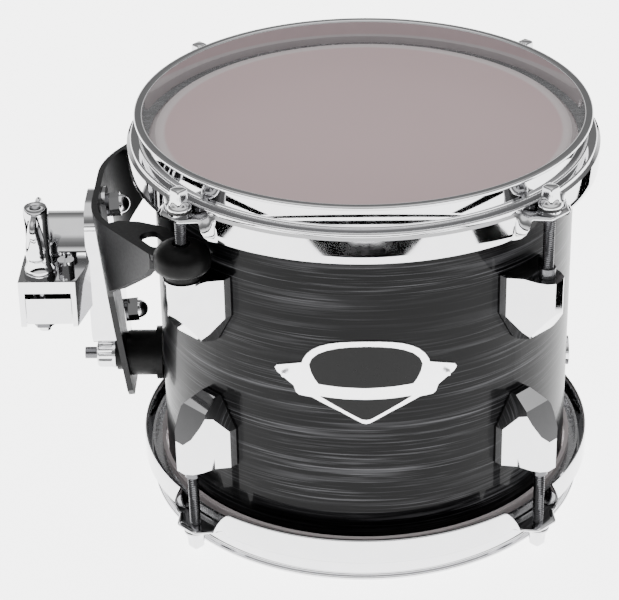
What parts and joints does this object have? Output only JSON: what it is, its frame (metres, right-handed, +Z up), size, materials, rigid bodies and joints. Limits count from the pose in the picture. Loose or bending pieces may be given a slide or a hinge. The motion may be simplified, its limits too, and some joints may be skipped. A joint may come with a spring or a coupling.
{
  "type": "tom tom drum",
  "caption": "Small two-headed tom drum with chrome hoops, lugs and tension rods, hung from a black side plate with an arm clamp.",
  "frame": {"origin": "on the drum's axis, in the plane of the bottom hoop's lip that the drum rests on", "axes": "+Z up along the drum's axis towards the batter head, -X towards the suspension plate and its arm socket, -Y towards the badge"},
  "size_m": [0.2799, 0.2268, 0.2002],
  "materials": {
    "maple": "clear satin lacquer inside",
    "wrap": "gloss charcoal wrap with fine wavy horizontal silver strands",
    "film": "translucent satin drumhead film",
    "aluminium": "plain",
    "chrome": "bright chrome plate",
    "steel": "plated steel",
    "black_paint": "semi-matt black powder coat",
    "rubber": "smooth black",
    "nylon": "grey nylon",
    "badge_silver": "polished",
    "badge_black": "gloss enamel"
  },
  "bodies": {
    "drum": {"shell": "maple", "shell_wrap": "wrap", "batter_film": "film", "resonant_film": "film", "batter_flesh_hoop": "aluminium", "resonant_flesh_hoop": "aluminium", "top_hoop": "chrome", "bottom_hoop": "chrome", "lug_gaskets": "rubber", "swivel_nuts": "steel", "nut_retainers": "nylon", "lug_screws": "steel", "lug_washers": "steel", "rod_steel_washers": "chrome", "rod_nylon_washers": "nylon", "badge_plate": "badge_silver", "badge_enamel": "badge_black", "badge_pins": "badge_silver", "vent_grommet": "chrome", "vent_ring": "chrome", "suspension_plate": "black_paint", "backing_plate": "chrome", "plate_grommets": "rubber", "grommet_sleeves": "steel", "grommet_washers": "chrome", "bumper_foot": "rubber", "bumper_stud": "steel", "bumper_washer": "rubber", "bracket_body": "chrome", "socket_liner": "nylon", "wing_bolt_washer": "chrome", "lock_screw": "chrome", "bracket_studs": "steel", "bracket_lock_washers": "steel", "bracket_acorn_nuts": "chrome", "top_lug_rear_right": "chrome", "bottom_lug_rear_right": "chrome", "top_lug_rear_left": "chrome", "bottom_lug_rear_left": "chrome", "top_lug_front_left": "chrome", "bottom_lug_front_left": "chrome", "top_lug_front_right": "chrome", "bottom_lug_front_right": "chrome"},
    "top_rod_rear_right": {"top_rod_rear_right": "steel"},
    "top_rod_rear_left": {"top_rod_rear_left": "steel"},
    "top_rod_front_left": {"top_rod_front_left": "steel"},
    "top_rod_front_right": {"top_rod_front_right": "steel"},
    "bottom_rod_rear_right": {"bottom_rod_rear_right": "steel"},
    "bottom_rod_rear_left": {"bottom_rod_rear_left": "steel"},
    "bottom_rod_front_left": {"bottom_rod_front_left": "steel"},
    "bottom_rod_front_right": {"bottom_rod_front_right": "steel"},
    "wing_bolt": {"wing_bolt": "chrome"},
    "clamp_jaw": {"clamp_jaw": "chrome", "jaw_nut": "steel"},
    "bumper_thumb_nut": {"bumper_thumb_nut": "chrome"}
  },
  "joints": [
    {"name": "top_rod_rear_right_turn", "type": "hinge", "parent": "drum", "child": "top_rod_rear_right", "pos_m": [0.08316, 0.08316, 0.1852], "axis": [0, 0, 1], "range_deg": [-1080, 1080]},
    {"name": "top_rod_rear_left_turn", "type": "hinge", "parent": "drum", "child": "top_rod_rear_left", "pos_m": [-0.08316, 0.08316, 0.1852], "axis": [0, 0, 1], "range_deg": [-1080, 1080]},
    {"name": "top_rod_front_left_turn", "type": "hinge", "parent": "drum", "child": "top_rod_front_left", "pos_m": [-0.08316, -0.08316, 0.1852], "axis": [0, 0, 1], "range_deg": [-1080, 1080]},
    {"name": "top_rod_front_right_turn", "type": "hinge", "parent": "drum", "child": "top_rod_front_right", "pos_m": [0.08316, -0.08316, 0.1852], "axis": [0, 0, 1], "range_deg": [-1080, 1080]},
    {"name": "bottom_rod_rear_right_turn", "type": "hinge", "parent": "drum", "child": "bottom_rod_rear_right", "pos_m": [0.08316, 0.08316, 0.015], "axis": [0, 0, -1], "range_deg": [-1080, 1080]},
    {"name": "bottom_rod_rear_left_turn", "type": "hinge", "parent": "drum", "child": "bottom_rod_rear_left", "pos_m": [-0.08316, 0.08316, 0.015], "axis": [0, 0, -1], "range_deg": [-1080, 1080]},
    {"name": "bottom_rod_front_left_turn", "type": "hinge", "parent": "drum", "child": "bottom_rod_front_left", "pos_m": [-0.08316, -0.08316, 0.015], "axis": [0, 0, -1], "range_deg": [-1080, 1080]},
    {"name": "bottom_rod_front_right_turn", "type": "hinge", "parent": "drum", "child": "bottom_rod_front_right", "pos_m": [0.08316, -0.08316, 0.015], "axis": [0, 0, -1], "range_deg": [-1080, 1080]},
    {"name": "wing_bolt_turn", "type": "hinge", "parent": "drum", "child": "wing_bolt", "pos_m": [-0.1565, -0.028, 0.1269], "axis": [0, 0, 1], "range_deg": [0, 540]},
    {"name": "clamp_jaw_slide", "type": "slide", "parent": "drum", "child": "clamp_jaw", "axis": [0, 0, -1], "range_m": [0, 0.0015]},
    {"name": "bumper_thumb_nut_turn", "type": "hinge", "parent": "drum", "child": "bumper_thumb_nut", "pos_m": [-0.1253, 0, 0.064], "axis": [-1, 0, 0], "range_deg": [0, 360]}
  ],
  "couplings": [
    {"joint": "wing_bolt_turn", "follows": "clamp_jaw_slide", "rad_per_m": 6283.2}
  ]
}
